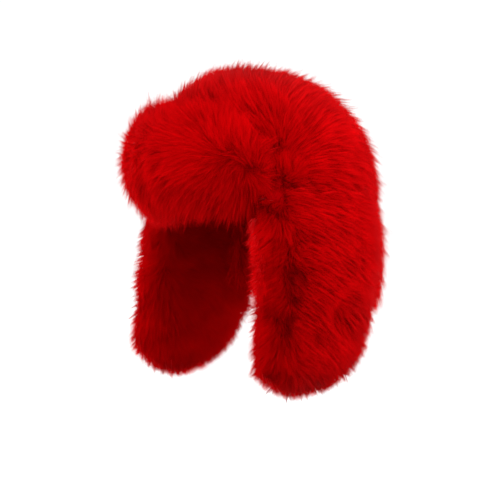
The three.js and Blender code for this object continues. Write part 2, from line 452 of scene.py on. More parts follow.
@dataclass
class Hairs:
    """Hairs rooted in one body.

    Attributes:
        root: The roots, one a row.
        normal: Unit normals there.
        soft: The same, rounded as the pile's surface is.
        leader: For each hair, the number of the hair that leads its tuft.
        rng: The random source.
    """

    root: Array
    normal: Array
    soft: Array
    leader: Array
    rng: np.random.Generator

    @classmethod
    def scatter(cls, shell: Shell, pile: Pile, mask: Field, seed: int) -> "Hairs":
        """Picks even random roots on a mesh, and shares them out among tufts.

        Args:
            shell: The mesh.
            pile: Gives the density and the tufts.
            mask: Says which places are kept.
            seed: Makes each run the same.

        Returns:
            The hairs, without their paths.
        """
        rng = np.random.default_rng(seed)
        areas = shell.areas()
        count = int(areas.sum() * pile.density)
        face = shell.triangles[rng.choice(len(areas), count, p=areas / areas.sum())]
        s, t = np.sqrt(rng.random((count, 1))), rng.random((count, 1))
        share = (1 - s, s * (1 - t), s * t)
        fields = (shell.vertices, shell.normals(), shell.normals(shell.rounding))
        root, normal, soft = (sum(w * f[face[:, i]] for i, w in enumerate(share)) for f in fields)
        normal, soft = unit(normal), unit(soft)
        kept = mask(root, normal)
        root, normal, soft = root[kept], normal[kept], soft[kept]
        return cls(root, normal, soft, cls.leaders(root, pile.tuft, rng), rng)

    @staticmethod
    def leaders(root: Array, spacing: float, rng: np.random.Generator) -> Array:
        """Finds the hair that leads each hair's tuft.

        Args:
            root: The hairs' roots.
            spacing: Rough distance between two tufts.
            rng: The random source.

        Returns:
            The number of the leading hair, for each hair.
        """
        order = rng.permutation(len(root))
        cells = (root[order] // spacing).astype(int)
        first = np.unique(cells, axis=0, return_index=True)[1]
        chosen = order[first]
        tree = KDTree(len(chosen))
        for number, place in enumerate(root[chosen].tolist()):
            tree.insert(place, number)
        tree.balance()
        # A root near the edge of a tuft may belong to the next one
        wobble = root + rng.normal(scale=spacing / 8, size=root.shape)
        return chosen[[tree.find(place)[1] for place in wobble.tolist()]]

    def spread(self, scale: float) -> tuple[Array, Array]:
        """Draws random numbers, one set for each tuft and one for each hair.

        Args:
            scale: Their spread.

        Returns:
            The numbers shared by a tuft, and those of each hair.
        """
        count = len(self.root)
        tufts = self.rng.normal(scale=scale, size=count)[self.leader]
        return tufts, self.rng.normal(scale=scale, size=count)

    def ways(self, pile: Pile, comb: Field) -> tuple[Array, Array]:
        """Works out the way that each hair lies.

        Args:
            pile: Gives how unevenly the hairs lie.
            comb: Gives the way the pile is combed. Shorter vectors leave it looser.

        Returns:
            The unit way that each hair lies along the surface, and how firmly it is combed.
        """
        combed = in_surface(comb(self.root, self.normal), self.normal)
        firmness = np.clip(np.linalg.norm(combed, axis=1), 0, FIRMEST)
        tuft_turn, hair_turn = self.spread(1.0)
        swing = sum(share * waves(self.root, size, seed) for share, size, seed in STRAY_WAVES)
        swing = swing + TUFT_STRAY * tuft_turn + HAIR_STRAY * hair_turn
        swing = swing * pile.stray * (LOOSE_STRAY - (LOOSE_STRAY - 1) * firmness)
        side = np.cross(self.normal, unit(combed))
        lie = unit(unit(combed) * np.cos(swing)[:, None] + side * np.sin(swing)[:, None])
        return lie, firmness

    def lengths(self, pile: Pile) -> tuple[Array, Array]:
        """Works out how long each hair is.

        Args:
            pile: Gives the length, how uneven it is and where partings shorten it.

        Returns:
            The lengths, and the share of its full length that each hair keeps.
        """
        tuft_length, _ = self.spread(pile.uneven)
        own_share = self.rng.uniform(*LENGTH_RANGE, len(self.root))
        length = pile.length * (1 + tuft_length) * own_share
        trim_and_painted_shade = pile.trim_and_painted_shade(self.root)
        return length * trim_and_painted_shade, trim_and_painted_shade

    def rises(self, pile: Pile, firmness: Array) -> tuple[Array, Array]:
        """Works out how steeply each hair stands.

        Args:
            pile: Gives how upright the pile is.
            firmness: How firmly each hair is combed.

        Returns:
            The share of its length that each tip stands over its root, and how much each
            hair's tuft stands up from the rest, 0 to 1.
        """
        count = len(self.root)
        tuft_rise, hair_rise = self.spread(RISE_SPREAD)
        # The power leaves most tufts lying and few standing
        stands = (self.rng.random(count) ** 3)[self.leader]
        sticks_out = pile.fuzz * stands * self.rng.uniform(0.75, 1.05, count)
        sticks_out = sticks_out + self.rng.exponential(STICK_OUT, count)
        rise = pile.rise + (pile.upright - pile.rise) * (1 - firmness)
        rise = rise + tuft_rise + hair_rise + sticks_out - RISE_OFFSET
        return np.clip(rise, *RISE_RANGE), stands

    def paths(self, pile: Pile, comb: Field) -> tuple[Array, Array, Array]:
        """Works out where each hair runs.

        Args:
            pile: How the hairs stand.
            comb: Gives the way the pile is combed.

        Returns:
            Root, middle and tip of each hair, the unit way that it lies, and the share of its
            length that it keeps.
        """
        lie, firmness = self.ways(pile, comb)
        length, trim_and_painted_shade = self.lengths(pile)
        rise, stands = self.rises(pile, firmness)
        # A hair leaves its root steeply and bends over towards its tip
        s = np.array([0.0, 0.5, 1.0])[None, :, None]
        up = (length * rise)[:, None, None] * (1.5 * s - 0.5 * s**2)
        run = (length * np.sqrt(1 - rise**2))[:, None, None] * (0.5 * s + 0.5 * s**2)
        path = self.root[:, None] + self.normal[:, None] * up + lie[:, None] * run
        path[:, :, 2] -= (pile.droop * length)[:, None] * s[:, :, 0] ** 2
        gather = pile.gather * self.rng.uniform(0.5, 1.2, len(path)) + STANDING_GATHER * stands
        path += gather[:, None, None] * s**1.5 * (path[self.leader] - path)
        return path, lie, trim_and_painted_shade

    def turned(self, path: Array, lie: Array) -> tuple[Array, Array]:
        """Turns each leaf about its hair, no further than leaves it facing out.

        Args:
            path: Root, middle and tip of each hair.
            lie: The unit way that each hair lies.

        Returns:
            The unit way across each leaf, and the unit normal that it is shaded with. That is
            mostly the pile's, so that the hat's large form carries the light.
        """
        along = unit(path[:, 2] - path[:, 0])
        across = unit(np.cross(along, self.normal + 0.35 * lie))
        flat = np.cross(across, along)
        turn = self.rng.uniform(-LEAF_TURN, LEAF_TURN, len(path))[:, None]
        across = across * np.cos(turn) + flat * np.sin(turn)
        soft = unit(self.soft + 0.25 * lie)
        facing = np.sum(np.cross(across, along) * soft, axis=1, keepdims=True)
        across = across * np.where(facing < 0, -1, 1)
        own = np.cross(across, along)
        return across, unit(0.85 * soft + 0.15 * own)

    def shades(self, trim_and_painted_shade: Array) -> Array:
        """Works out what colours each leaf.

        Args:
            trim_and_painted_shade: The share of its length that each hair keeps. A short hair's
                colour stops
            before the pale end, which paints shade into its parting.

        Returns:
            For the root, both sides and the tip of each leaf, the hair's own shade as U and
            the height in the pile as V, which the material paints darker low down as painted
            shade.
        """
        tuft_shade, hair_shade = self.spread(0.1)
        shade = 0.5 + 0.4 * tuft_shade + 0.9 * hair_shade + 0.1 * waves(self.root, 18, 9)
        u = np.clip(shade, 0.02, 0.96)[:, None] + np.array([0.01, 0.0, 0.02, 0.01])
        # Scaled by the kept share, a short hair's V paints it darker: painted shade in partings
        v = trim_and_painted_shade[:, None] * [0.35, 0.66, 0.66, 0.99]
        return np.stack([u, v], axis=-1)

    def leaves(self, name: str, pile: Pile, comb: Field) -> bpy.types.Object:
        """Makes one mesh of thin leaves along the hairs, each bent at its middle.

        Args:
            name: The new object's name.
            pile: How the hairs stand, and their width.
            comb: Gives the way the pile is combed.

        Returns:
            The hairs as an object in metres.
        """
        path, lie, trim_and_painted_shade = self.paths(pile, comb)
        count = len(path)
        across, shading = self.turned(path, lie)
        half = 0.5 * pile.width * (0.6 + self.rng.exponential(0.4, count))[:, None]
        left, right = path[:, 1] - across * half, path[:, 1] + across * half
        points = np.stack([path[:, 0], left, right, path[:, 2]], axis=1)
        faces = np.array([[0, 2, 1], [1, 2, 3]])
        index = (faces[None] + 4 * np.arange(count)[:, None, None]).reshape(-1)

        mesh = bpy.data.meshes.new(name)
        mesh.vertices.add(4 * count)
        mesh.vertices.foreach_set("co", (points * MM).ravel())
        mesh.loops.add(len(index))
        mesh.loops.foreach_set("vertex_index", index)
        mesh.polygons.add(len(index) // 3)
        mesh.polygons.foreach_set("loop_start", np.arange(0, len(index), 3))
        mesh.polygons.foreach_set("use_smooth", np.ones(len(index) // 3, dtype=bool))
        layer = mesh.uv_layers.new(name=HAIR_UV)
        layer.data.foreach_set("uv", self.shades(trim_and_painted_shade).reshape(-1, 2)[index].ravel())
        mesh.update()
        mesh.validate()
        mesh.normals_split_custom_set_from_vertices(np.repeat(shading, 4, axis=0))

        made = bpy.data.objects.new(name, mesh)
        bpy.context.scene.collection.objects.link(made)
        return made


def grow(
    name: str,
    shell: Shell,
    pile: Pile,
    comb: Field,
    mask: Field,
    seed: int,
) -> bpy.types.Object:
    """Grows hairs on a body as one mesh.

    Args:
        name: The new object's name.
        shell: The body that the hairs are rooted in.
        pile: How the hairs stand.
        comb: Gives the way the pile is combed.
        mask: Says which places have hairs.
        seed: Makes each run the same.

    Returns:
        The hairs as an object in metres.
    """
    return Hairs.scatter(shell, pile, mask, seed).leaves(name, pile, comb)


@dataclass(frozen=True)
class BrushedPile:
    """Faux fur: dyed modacrylic fibre, knitted into a backing, sheared and brushed.

    The fibres are smooth, but brushed apart and crossed, so the pile shows no highlight. Its
    fine ends scatter a soft pale sheen, each hair lets light through to the ones behind it,
    and what is lost between them comes back only as dark red. The colour is also painted
    darker towards each hair's root, and more on the short hairs of a parting, as painted
    shade.

    Attributes:
        name: The material's name.
        deep: Painted shade: the colour of the short hairs in a deep parting.
        root: Colour at the root, painted a little darker as painted shade where little light
            reaches.
        middle: Colour half way along a hair.
        tip: Colour of the fine ends.
        heights: How high in the pile each of these colours stands.
        depth: Brightness of the dye on the deepest and on the palest dyed hair.
        roughness: How dull a hair is.
        ior: Of modacrylic fibre.
        sheen: How much light the fine ends scatter at a grazing angle.
        sheen_tint: Colour of that light.
        thin: Share of the light that passes on through a hair instead of coming back.
    """

    name: str
    deep: str = "#340001"
    root: str = "#ba0003"
    middle: str = "#cc0004"
    tip: str = "#e0040a"
    heights: tuple[float, float, float, float] = (0.19, 0.36, 0.65, 1.0)
    depth: tuple[float, float] = (0.64, 1.2)
    roughness: float = 0.5
    ior: float = 1.52
    sheen: float = 0.15
    sheen_tint: str = "#ff9090"
    thin: float = 0.48

    def build(self) -> bpy.types.Material:
        """Makes the material, coloured along each hair and from tuft to tuft.

        Returns:
            The material.
        """
        material = bpy.data.materials.new(self.name)
        material.use_nodes = True
        tree = material.node_tree
        tree.nodes.clear()
        place = add_node(tree, "ShaderNodeUVMap", {"uv_map": HAIR_UV})
        parts = add_node(tree, "ShaderNodeSeparateXYZ", links={0: place.outputs[0]})
        # The ramp runs from dark low in the pile to pale at the tips: painted shade, deepest in
        # partings
        ramp = add_node(tree, "ShaderNodeValToRGB", links={0: parts.outputs["Y"]})
        for height in self.heights[1:-1]:
            ramp.color_ramp.elements.new(height)
        colours = (self.deep, self.root, self.middle, self.tip)
        for stop, height, colour in zip(ramp.color_ramp.elements, self.heights, colours):
            stop.position = height
            stop.color = linear(colour)
        light = add_node(
            tree,
            "ShaderNodeMapRange",
            {"To Min": self.depth[0], "To Max": self.depth[1]},
            {"Value": parts.outputs["X"]},
        )
        dyed = add_node(
            tree,
            "ShaderNodeVectorMath",
            {"operation": "SCALE"},
            {0: ramp.outputs["Color"], "Scale": light.outputs["Result"]},
        )
        shader = add_node(
            tree,
            "ShaderNodeBsdfPrincipled",
            {
                "Roughness": self.roughness,
                "IOR": self.ior,
                "Specular IOR Level": 0.0,
                "Sheen Weight": self.sheen,
                "Sheen Roughness": 0.4,
                "Sheen Tint": linear(self.sheen_tint),
            },
            {"Base Color": dyed.outputs[0]},
        )
        through = add_node(
            tree,
            "ShaderNodeBsdfTranslucent",
            links={"Color": dyed.outputs[0]},
        )
        both = add_node(
            tree,
            "ShaderNodeMixShader",
            {0: self.thin},
            {1: shader.outputs["BSDF"], 2: through.outputs["BSDF"]},
        )
        add_node(
            tree,
            "ShaderNodeOutputMaterial",
            links={"Surface": both.outputs["Shader"]},
        )
        return material


@dataclass(frozen=True)
class KnittedBacking:
    """Knitted polyester ground with matted underfur: dull, dark and faintly streaked.

    Attributes:
        name: The material's name.
        dark: Colour in the hollows between stitches and fibres.
        light: Colour on the raised fibres.
        streak: Width of one streak, in millimetres. A fibre is 0.02 mm thick, and some eighty
            mat into the streak that the eye sees.
        bump: Height of the streaks, in millimetres.
    """

    name: str
    dark: str = "#6a0002"
    light: str = "#a00004"
    streak: float = 1.6
    bump: float = 1.2

    def build(self) -> bpy.types.Material:
        """Makes the material, streaked and bumped by one noise.

        Returns:
            The material.
        """
        material = bpy.data.materials.new(self.name)
        material.use_nodes = True
        tree = material.node_tree
        tree.nodes.clear()
        place = add_node(tree, "ShaderNodeTexCoord")
        longer = add_node(
            tree,
            "ShaderNodeMapping",
            {"Scale": (1.0, 1.0, 0.25)},
            {"Vector": place.outputs["Object"]},
        )
        noise = add_node(
            tree,
            "ShaderNodeTexNoise",
            {"Scale": 1 / (2 * self.streak * MM), "Detail": 4.0, "Roughness": 0.6},
            {"Vector": longer.outputs["Vector"]},
        )
        colour = add_node(
            tree,
            "ShaderNodeMix",
            {"data_type": "RGBA", 6: linear(self.dark), 7: linear(self.light)},
            {0: noise.outputs["Fac"]},
        )
        bump = add_node(
            tree,
            "ShaderNodeBump",
            {"Strength": 0.6, "Distance": self.bump * MM},
            {"Height": noise.outputs["Fac"]},
        )
        shader = add_node(
            tree,
            "ShaderNodeBsdfPrincipled",
            {"Roughness": 0.95, "Specular IOR Level": 0.0},
            {"Base Color": colour.outputs[2], "Normal": bump.outputs["Normal"]},
        )
        add_node(
            tree,
            "ShaderNodeOutputMaterial",
            links={"Surface": shader.outputs["BSDF"]},
        )
        return material


@dataclass(frozen=True)
class StudioPaper:
    """Matt white background paper, lit by lamps of its own so that it stays white.

    Attributes:
        name: The material's name.
        colour: The paper's colour.
        lit: How much light its own lamps give it.
    """

    name: str = "studio_paper"
    colour: str = "#ffffff"
    lit: float = 0.8

    def build(self) -> bpy.types.Material:
        """Makes the plain matt material.

        Returns:
            The material.
        """
        material = bpy.data.materials.new(self.name)
        material.use_nodes = True
        shader = material.node_tree.nodes["Principled BSDF"]
        shader.inputs["Base Color"].default_value = linear(self.colour)
        shader.inputs["Roughness"].default_value = 0.9
        shader.inputs["Specular IOR Level"].default_value = 0.0
        shader.inputs["Emission Color"].default_value = linear(self.colour)
        shader.inputs["Emission Strength"].default_value = self.lit
        return material


@dataclass(frozen=True)
class Finishes:
    """The hat's materials, made once and shared by its pieces.

    Attributes:
        crown: Finish of the crown's pile.
        visor: Finish of the visor's pile.
        flap: Finish of the pile on the ear flaps and the neck flap.
        backing: Finish of every piece under its pile.
    """

    crown: bpy.types.Material
    visor: bpy.types.Material
    flap: bpy.types.Material
    backing: bpy.types.Material

    @classmethod
    def make(cls) -> "Finishes":
        """Returns all the materials."""
        return cls(
            crown=BrushedPile("crown_pile").build(),
            visor=BrushedPile("visor_pile").build(),
            flap=BrushedPile("flap_pile").build(),
            backing=KnittedBacking("knitted_backing").build(),
        )


def dress(
    made: bpy.types.Object,
    material: bpy.types.Material,
    node: str,
) -> None:
    """Gives a piece its material, slot and place on the hat.

    Args:
        made: The piece.
        material: Its finish.
        node: The solid that it stands for.
    """
    made.data.materials.append(material)
    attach(made, "root")
    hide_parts(node)
    LOG.info("%s: %d faces", made.name, len(made.data.polygons))


@dataclass
class Crown:
    """The hollow domed crown.

    Attributes:
        half_width: Half width of the pile's dense surface.
        half_depth: Its half depth.
        height: Its height over the brow line.
        front_fullness: How much squarer the front is than an ellipse.
        rear_fullness: How much squarer the rear is.
        lean: How far its top lies behind its middle.
        crest: How strongly the pile on top is brushed back.
        visor_turn: Degrees from the front up to which the visor hides it.
        visor_top: Height up to which the visor hides it.
        pile: How its hairs stand. They part from over each temple, from a deep pocket beside
        the visor's end, up the side in front, and behind the visor's ridge. In these grooves
        the hairs stand shorter and are painted darker, as painted shade.
    """

    half_width: float = 118.0
    half_depth: float = 132.0
    height: float = 138.0
    front_fullness: float = 0.4
    rear_fullness: float = 0.15
    lean: float = 6.0
    crest: float = 0.7
    visor_turn: float = 56.0
    visor_top: float = 62.0
    pile: Pile = field(
        default_factory=lambda: Pile(
            2.1,
            fuzz=0.45,
            gather=0.12,
            stray=0.1,
            partings=(
                Parting(((112, -44, 14),), reach=170, hollow=38, depth=0.64, wander=9),
                Parting(
                    ((111, -45, 22), (107, -42, 44), (103, -39, 60)),
                    reach=20,
                    hollow=20,
                    depth=0.7,
                    force=1.5,
                ),
                Parting(((92, -32, 85), (72, -26, 112)), reach=18, hollow=10, depth=0.35),
                Parting(
                    ((-20, -104, 108), (20, -104, 108), (52, -82, 106)),
                    reach=16,
                    hollow=15,
                    depth=0.5,
                ),
            ),
        )
    )

    def body(self) -> Shell:
        """Makes the backing: outer dome under the pile, rim, and inner dome.

        Returns:
            The closed body.
        """
        turn = np.linspace(0, 2 * math.pi, 96, endpoint=False)
        power = 2 + self.front_fullness * np.maximum(0, np.cos(turn))
        power = power + self.rear_fullness * np.maximum(0, -np.cos(turn))
        rings = []
        for tilt in np.radians(np.linspace(4, 90, 30)):
            share = (1 - math.cos(tilt) ** power) ** (1 / power)
            z = (self.height - PILE_DEPTH) * math.cos(tilt)
            width = (self.half_width - PILE_DEPTH) * share
            ring = on_plan(width, (self.half_depth - PILE_DEPTH) * share, turn, z)
            rings.append(ring + [0, self.lean * math.cos(tilt) ** 3, 0])
        for out in (0.5, 0.0):
            width = HEAD_WIDTH + out * (self.half_width - PILE_DEPTH - HEAD_WIDTH)
            depth = HEAD_DEPTH + out * (self.half_depth - PILE_DEPTH - HEAD_DEPTH)
            rings.append(on_plan(width, depth, turn, RIM_Z + 1))
        for tilt in np.radians(np.linspace(90, 5, 22)):
            z = HEAD_HEIGHT * math.cos(tilt)
            width = HEAD_WIDTH * math.sin(tilt)
            rings.append(on_plan(width, HEAD_DEPTH * math.sin(tilt), turn, z))
        top = np.array([0, self.lean, self.height - PILE_DEPTH])
        return loft(np.array(rings), top, np.array([0, 0, HEAD_HEIGHT]))

    def comb(self, points: Array, _normals: Array) -> Array:
        """Combs the pile off its partings in front, and down behind.

        Args:
            points: Places, one a row.
            _normals: Unit normals there, which don't matter on the crown.

        Returns:
            The way that the pile is combed at each place.
        """
        x, y, z = points.T
        # Behind a wavy edge over the ears the pile hangs down the back
        rear = smooth_step(-50, 120, y + 22 * waves(points, 40, 41))[:, None]
        flow = 1.7 * self.pile.pull(points) * (1 - rear)
        # Along the middle line neither side's partings push the pile sideways
        flow[:, 0] *= smooth_step(0, 50, np.abs(x))
        flow += rear * [0, 0.3, -0.9]
        # On top it is brushed back
        flow[:, 1] += self.crest * smooth_step(60, 120, z) * smooth_step(-70, 20, y)
        # The rim's hairs hang over the seam
        flow[:, 2] -= 0.3 * (1 - smooth_step(-5, 30, z))
        return flow

    def mask(self, side: Side, points: Array, normals: Array) -> Array:
        """Says which places have hairs: one side's outer face, but not behind the visor.

        Args:
            side: The wearer's side.
            points: Places, one a row.
            normals: Unit normals there.

        Returns:
            True at each place that has hairs.
        """
        x, y, z = points.T
        outside = (np.sum(points * normals, axis=1) > 0) & (normals[:, 2] > -0.75)
        off_lining = np.hypot(x / HEAD_WIDTH, y / HEAD_DEPTH) > 1.08
        over_lining = z > HEAD_HEIGHT * 0.6
        turn = np.degrees(np.arctan2(np.abs(x), -y))
        behind_visor = (turn < self.visor_turn) & (z < self.visor_top)
        kept = outside & (off_lining | over_lining) & ~behind_visor
        return kept & (x * side.value > 0)

    def build(self, finishes: Finishes) -> None:
        """Builds and dresses the crown, with its pile in two halves.

        Args:
            finishes: The hat's materials.
        """
        shell = self.body()
        dress(shell.to_object("crown_backing"), finishes.backing, "crown")
        for side in Side:
            name = f"crown_pile_{side.name.lower()}"
            mask = partial(self.mask, side)
            hairs = grow(name, shell, self.pile, self.comb, mask, 100 + side.value)
            dress(hairs, finishes.crown, "crown")


@dataclass
class Visor:
    """The front visor, turned up against the crown.

    Attributes:
        sections: Rows of degrees from the front, foot, top, inside and reach.
        arch: How far its face draws back at its foot and top in front.
        end_arch: The same at its ends.
        last_turn: Degrees from the front at which the padding ends.
        pile: How its hairs stand. They part from a whorl near each end, from the corner under
        the end, and along the end's edge. The hairs there stand shorter and are painted
        darker, most in that corner, as painted shadow under the visor's end.
    """

    sections: tuple[tuple[float, float, float, float, float], ...] = (
        (0, -11, 95, 13, 49),
        (14, -10, 95, 13, 49),
        (28, -8, 95, 13, 49),
        (40, -7, 90, 13, 47),
        (50, -7, 78, 14, 45),
        (59, -7, 64, 16, 42),
        (66, -4, 49, 20, 39),
        (70, 10, 36, 26, 36),
    )
    arch: float = 17.0
    end_arch: float = 7.0
    last_turn: float = 60.0
    pile: Pile = field(
        default_factory=lambda: Pile(
            1.9,
            uneven=0.07,
            partings=(
                Parting(
                    ((99, -90, 43), (88, -105, 52)),
                    reach=150,
                    hollow=30,
                    depth=0.1,
                    wander=5,
                ),
                # Painted shadow under the visor's end: its hairs stand shorter and are painted
                # darker
                Parting(((113, -57, 22),), reach=20, hollow=24, depth=0.65),
                Parting(
                    ((106, -70, 34), (100, -68, 58)),
                    reach=10,
                    hollow=12,
                    depth=0.4,
                    force=0.5,
                ),
            ),
        )
    )

    def body(self) -> Shell:
        """Makes the padded leaf under the pile.

        Returns:
            The closed body.
        """
        table = np.array(self.sections, dtype=float)
        turns = np.linspace(-self.last_turn, self.last_turn, 73)
        foot, top, inside, reach = (
            np.interp(np.abs(turns), table[:, 0], table[:, i]) for i in range(1, 5)
        )
        angle = np.linspace(0, 2 * math.pi, 40, endpoint=False)
        rise = signed_power(np.sin(angle), 0.8)
        face = signed_power(np.cos(angle), SQUARED)
        to_end = smooth_step(35, self.last_turn, np.abs(turns))[:, None]
        arch = self.arch + (self.end_arch - self.arch) * to_end
        back = arch * np.abs(rise) ** 2.4 * (1 + face) / 2
        # Near the ends the padding stays this high and thick
        half_height = np.maximum((top - foot) / 2 - PILE_DEPTH, 5)[:, None]
        half_thick = np.maximum((reach - inside) / 2 - PILE_DEPTH, 3)[:, None]
        out = (inside + reach)[:, None] / 2 + half_thick * face - back * 0.8
        z = (top + foot)[:, None] / 2 + half_height * rise
        rings = on_plan(HEAD_WIDTH + out, HEAD_DEPTH + out, np.radians(turns)[:, None], z)
        return loft(rings, rings[0].mean(axis=0), rings[-1].mean(axis=0))

    def comb(self, points: Array, _normals: Array) -> Array:
        """Combs the pile off its partings, down at the foot and up at the top.

        Args:
            points: Places, one a row.
            _normals: Unit normals there, which don't matter on the visor.

        Returns:
            The way that the pile is combed at each place.
        """
        z = points[:, 2]
        # In the middle neither end's partings push the pile sideways: it spreads up and down
        off_centre = smooth_step(0, 70, np.abs(points[:, 0] + 22 * waves(points, 45, 31)))
        flow = 1.4 * self.pile.pull(points)
        flow[:, 0] *= off_centre
        spread = 2 * smooth_step(30, 100, z) - 1
        flow[:, 2] += 0.9 * (1 - off_centre) * spread
        flow[:, 2] += 0.3 * smooth_step(60, 90, z)
        flow[:, 2] -= 0.7 * (1 - smooth_step(-6, 30, z))
        return flow

    def mask(self, points: Array, normals: Array) -> Array:
        """Says which places have hairs: all but the back that lies on the crown.

        Args:
            points: Places, one a row.
            normals: Unit normals there.

        Returns:
            True at each place that has hairs.
        """
        from_axis = unit(points * [1, 1, 0])
        facing = np.sum(from_axis * normals, axis=1)
        return (facing > -0.3) | (points[:, 2] < 0)

    def build(self, finishes: Finishes) -> None:
        """Builds and dresses the visor.

        Args:
            finishes: The hat's materials.
        """
        shell = self.body()
        dress(shell.to_object("visor_backing"), finishes.backing, "visor")
        hairs = grow("visor_pile", shell, self.pile, self.comb, self.mask, 200)
        dress(hairs, finishes.visor, "visor")


@dataclass
class EarFlap:
    """One ear flap, furred on both faces.

    Attributes:
        side: The wearer's side that it is on.
        edge_depth: How far its padded edge lies inside the pile's edge.
        rear_straight: How straight its rear half is, beside its front half.
        held_z: The height inside the crown where its padding is held.
        short: How much shorter than the pile the padding hangs from there, as a share.
        rounding: How often its soft normals are evened out, as its pile is a thick roll.
        sections: Rows of height, front edge, rear edge, middle, straightness and thickness.
        outer_pile: How the hairs of its outer face stand. They part down the middle, from
        pockets along that line, from a dent behind it and at the front corner on top. The
        hairs there stand shorter and are painted darker, as painted shade, and at that
        corner as painted shadow under the visor.
        inner_pile: How those of its inner face stand, which part from a whorl. Down the
        face's middle they stand shorter and are painted darker, as painted shade inside
        the hat.
    """

    side: Side
    edge_depth: float = 5.0
    rear_straight: float = 0.4
    held_z: float = 8.0
    short: float = 0.06
    rounding: int = 40
    sections: tuple[tuple[float, float, float, float, float, float], ...] = (
        (26, -58, 76, 96, 0.6, 34),
        (8, -69, 80, 100, 0.9, 39),
        (-8.4, -72, 80, 103, 1, 40),
        (-30, -72, 79, 108, 1, 41),
        (-62, -71, 76, 112, 0.95, 42),
        (-98, -76, 60, 116, 1, 42),
        (-130, -79, 54, 118, 1, 41),
        (-156, -81, 42, 119, 1, 39),
        (-174, -77, 28, 118, 1, 38),
        (-187, -64, 5, 116, 1, 35),
        (-193, -53, -13, 115, 1, 31),
    )
    outer_pile: Pile = field(
        default_factory=lambda: Pile(
            2.1,
            length=27.0,
            fuzz=0.32,
            gather=0.14,
            uneven=0.04,
            partings=(
                Parting(((110, -43, 0),), reach=110, hollow=30, depth=0.35, wander=9, force=0.6),
                Parting(
                    (
                        (110, -44, 10),
                        (118, -45, -22),
                        (124, -48, -38),
                        (130, -51, -63),
                        (135, -56, -92),
                        (137, -60, -112),
                        (138, -58, -143),
                        (138, -54, -169),
                    ),
                    reach=55,
                    hollow=14,
                    depth=0.42,
                ),
                Parting(
                    ((121, -40, -62), (125, -46, -88), (127, -52, -118)),
                    reach=18,
                    hollow=18,
                    depth=0.66,
                    wander=5,
                    force=1.5,
                ),
                Parting(((138, -62, -140), (138, -58, -166)), reach=14, hollow=12, depth=0.5),
                Parting(((138, 6, -103),), reach=13, hollow=15, depth=0.92, wander=2, force=2.2),
                # Painted shadow under the visor: the hairs at this corner stand shorter and are
                # painted darker
                Parting(((99, -68, 3), (112, -58, -6)), reach=12, hollow=17, depth=0.62, wander=3),
            ),
        )
    )
    inner_pile: Pile = field(
        default_factory=lambda: Pile(
            1.9,
            length=27.0,
            fuzz=0.28,
            gather=0.14,
            uneven=0.04,
            partings=(
                Parting(((95, -54, -84),), reach=110, hollow=16, depth=0.15),
                Parting(((93, -50, -34), (95, -53, -70)), reach=20, hollow=9, depth=0.35),
                # It pushes nothing: it only shortens the face's middle and paints it darker, as
                # painted shade
                Parting(((90, -8, -40), (100, -24, -150)), hollow=46, depth=0.2, force=0.0),
            ),
        )
    )

    def body(self) -> Shell:
        """Makes the left flap's padded tongue under the pile.

        Returns:
            The closed body.
        """
        table = np.array(self.sections, dtype=float)
        levels = np.linspace(table[0, 0], table[-1, 0], 70)
        front, rear, middle, straight, thick = (
            np.interp(-levels, -table[:, 0], table[:, i])[:, None] for i in range(1, 6)
        )
        angle = np.linspace(0, 2 * math.pi, 56, endpoint=False)[None]
        # Near the foot the padding stays this long and thick
        half_length = np.maximum((rear - front) / 2 - self.edge_depth, 8)
        half_thick = np.maximum(thick / 2 - PILE_DEPTH, 3)
        along = (front + rear) / 2 + half_length * signed_power(np.cos(angle), SQUARED)
        across = half_thick * signed_power(np.sin(angle), SQUARED)
        ahead, behind = (self.middle_at(along + step, middle, straight) for step in (1, -1))
        slope = (ahead - behind) / 2
        stretch = np.hypot(1, slope)
        x = self.middle_at(along, middle, straight) + across / stretch
        y = along - across * slope / stretch
        z = self.held_z + (levels[:, None] - self.held_z) * (1 - self.short)
        rings = np.stack([x, y, np.broadcast_to(z, x.shape)], axis=-1)
        foot = rings[-1].mean(axis=0) - [0, 0, 3]
        return loft(rings, rings[0].mean(axis=0), foot, self.rounding)

    def middle_at(self, place: Array, middle: Array, straight: Array) -> Array:
        """Works out how far out the middle of the flap's thickness stands.

        Args:
            place: Places along the side of the head, from front to rear.
            middle: How far out it stands at the head's widest, for each level.
            straight: How much of the head's roundness the front half leaves out, for each.

        Returns:
            The distances from the middle of the head.
        """
        # The flap bends round the head along a slightly deeper ellipse than the lining's
        depth = HEAD_DEPTH + 20
        bent = middle * np.sqrt(np.maximum(0.05, 1 - (place / depth) ** 2))
        share = np.where(place < 0, 1, self.rear_straight)
        return bent + (middle - bent) * straight * share

    def comb_left(self, points: Array, normals: Array) -> Array:
        """Combs the left flap's pile off the partings of each face, and down.

        Args:
            points: Places, one a row.
            normals: Unit normals there.

        Returns:
            The way that the pile is combed at each place.
        """
        outer = 1.3 * self.outer_pile.pull(points)
        outer[:, 2] -= 0.45
        inner = 1.3 * self.inner_pile.pull(points)
        inner[:, 2] = np.minimum(inner[:, 2], 0) - 0.3
        weight = smooth_step(-0.35, 0.35, normals[:, 0])[:, None]
        # Where the faces meet at an edge, the hairs of both hang down
        edge = 4 * weight * (1 - weight)
        return (outer * weight + inner * (1 - weight)) * (1 - 0.7 * edge) + edge * [0, 0, -0.8]

    def comb(self, points: Array, normals: Array) -> Array:
        """Combs this side's pile as the left flap's, or as its mirror image.

        Args:
            points: Places, one a row.
            normals: Unit normals there.

        Returns:
            The way that the pile is combed at each place.
        """
        flip = np.array([self.side.value, 1, 1])
        return self.comb_left(points * flip, normals * flip) * flip

    def mask(self, face: Face, points: Array, normals: Array) -> Array:
        """Says which places of one face have hairs: those below the seam at the crown.

        Args:
            face: The face.
            points: Places, one a row.
            normals: Unit normals there.

        Returns:
            True at each place that has hairs.
        """
        out = normals[:, 0] * self.side.value * face.value
        if face is Face.OUTER:
